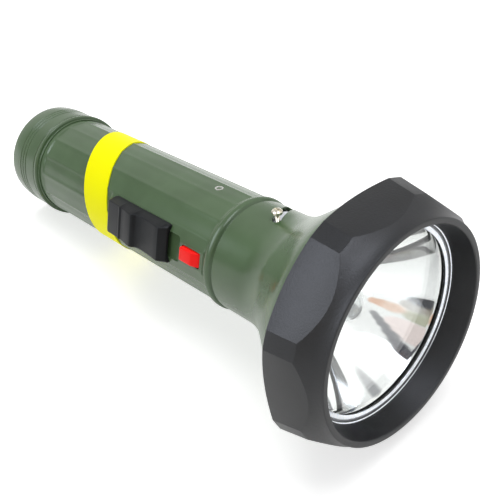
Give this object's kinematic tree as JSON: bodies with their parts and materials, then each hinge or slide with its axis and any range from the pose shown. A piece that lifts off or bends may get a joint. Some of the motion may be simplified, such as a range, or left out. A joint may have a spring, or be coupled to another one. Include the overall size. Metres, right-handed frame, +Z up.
{
  "type": "battery torch",
  "caption": "Battery torch lying down: fluted metal barrel with slide switch and push button, flared head with a slanted focus slot, screw-on tail cap, faceted bezel over a reflector.",
  "frame": {"origin": "centre of the bounding box's base, on the floor that the bezel and the tail cap lie on", "axes": "+X from the tail cap towards the lens, +Z up, the switch on the -Y side; the torch's own axis rises towards the lens by about 6.5 degrees"},
  "size_m": [0.1918, 0.0786, 0.0781],
  "materials": {
    "green_paint": "semi-gloss olive-green paint",
    "yellow_label": "plain glossy yellow label stock",
    "charcoal_plastic": "satin moulded plastic",
    "red_plastic": "soft-edged glossy plastic",
    "black_plastic": "finely grained moulded plastic",
    "brass_strip": "plain stamped strip",
    "nickel": "bright nickel plate",
    "mirror": "vacuum-plated reflector",
    "cell_can": "drawn can",
    "insulator": "moulded insulator",
    "bulb_glass": "clear glass",
    "gasket_rubber": "matte black rubber",
    "lens_glass": "clear flat glass"
  },
  "bodies": {
    "torch_body": {"barrel": "green_paint", "head_shell": "green_paint", "yellow_band": "yellow_label", "contact_strip": "brass_strip", "reflector": "mirror", "eyelet": "nickel", "button_leaf": "brass_strip"},
    "slide_switch": {"slide_knob": "charcoal_plastic", "slide_clip": "brass_strip"},
    "red_button": {"push_button": "red_plastic"},
    "cells": {"front_cell_can": "cell_can", "front_cell_cap": "nickel", "rear_cell_can": "cell_can", "rear_cell_cap": "nickel"},
    "bulb_carrier": {"bulb_holder": "insulator", "bulb_contact": "brass_strip", "bulb_base": "brass_strip", "bulb_glass": "bulb_glass"},
    "focus_ring": {"focus_sleeve": "nickel", "focus_screw": "nickel"},
    "cap_travel": {"tail_plate": "nickel", "tail_spring": "nickel"},
    "tail_cap": {"tail_cap": "green_paint"},
    "lens_travel": {"lens_gasket": "gasket_rubber", "lens": "lens_glass", "lens_ring": "nickel"},
    "bezel": {"bezel": "black_plastic"}
  },
  "joints": [
    {"name": "switch_slide", "type": "slide", "parent": "torch_body", "child": "slide_switch", "axis": [0.9936, 0, 0.113], "range_m": [0, 0.0042]},
    {"name": "button_press", "type": "slide", "parent": "torch_body", "child": "red_button", "axis": [0.0349, 0.9511, -0.307], "range_m": [0, 0.0009], "stiffness_N_per_m": 600, "springref_m": -0.0004, "deforming": ["button_leaf"]},
    {"name": "cells_slide", "type": "slide", "parent": "torch_body", "child": "cells", "axis": [0.9936, 0, 0.113], "range_m": [-0.007, 0], "deforming": ["tail_spring"]},
    {"name": "focus_slide", "type": "slide", "parent": "torch_body", "child": "bulb_carrier", "axis": [0.9936, 0, 0.113], "range_m": [-0.0071, 0.0001]},
    {"name": "focus_turn", "type": "hinge", "parent": "bulb_carrier", "child": "focus_ring", "pos_m": [0.04538, 0, 0.0357], "axis": [0.9936, 0, 0.113], "range_deg": [-44.5, 0.5]},
    {"name": "cap_slide", "type": "slide", "parent": "torch_body", "child": "cap_travel", "axis": [-0.9936, 0, -0.113], "range_m": [0, 0.005]},
    {"name": "cap_turn", "type": "hinge", "parent": "cap_travel", "child": "tail_cap", "pos_m": [-0.08378, 0, 0.02101], "axis": [-0.9936, 0, -0.113], "range_deg": [-1, 721]},
    {"name": "bezel_slide", "type": "slide", "parent": "torch_body", "child": "lens_travel", "axis": [0.9936, 0, 0.113], "range_m": [0, 0.006]},
    {"name": "bezel_turn", "type": "hinge", "parent": "lens_travel", "child": "bezel", "pos_m": [0.08513, 0, 0.04022], "axis": [0.9936, 0, 0.113], "range_deg": [-1, 721]}
  ],
  "couplings": [
    {"joint": "focus_slide", "follows": "cells_slide", "ratio": 1},
    {"joint": "focus_turn", "follows": "cells_slide", "rad_per_m": 109.71},
    {"joint": "cap_turn", "follows": "cap_slide", "rad_per_m": 2513.3},
    {"joint": "bezel_turn", "follows": "bezel_slide", "rad_per_m": 2094.4}
  ]
}
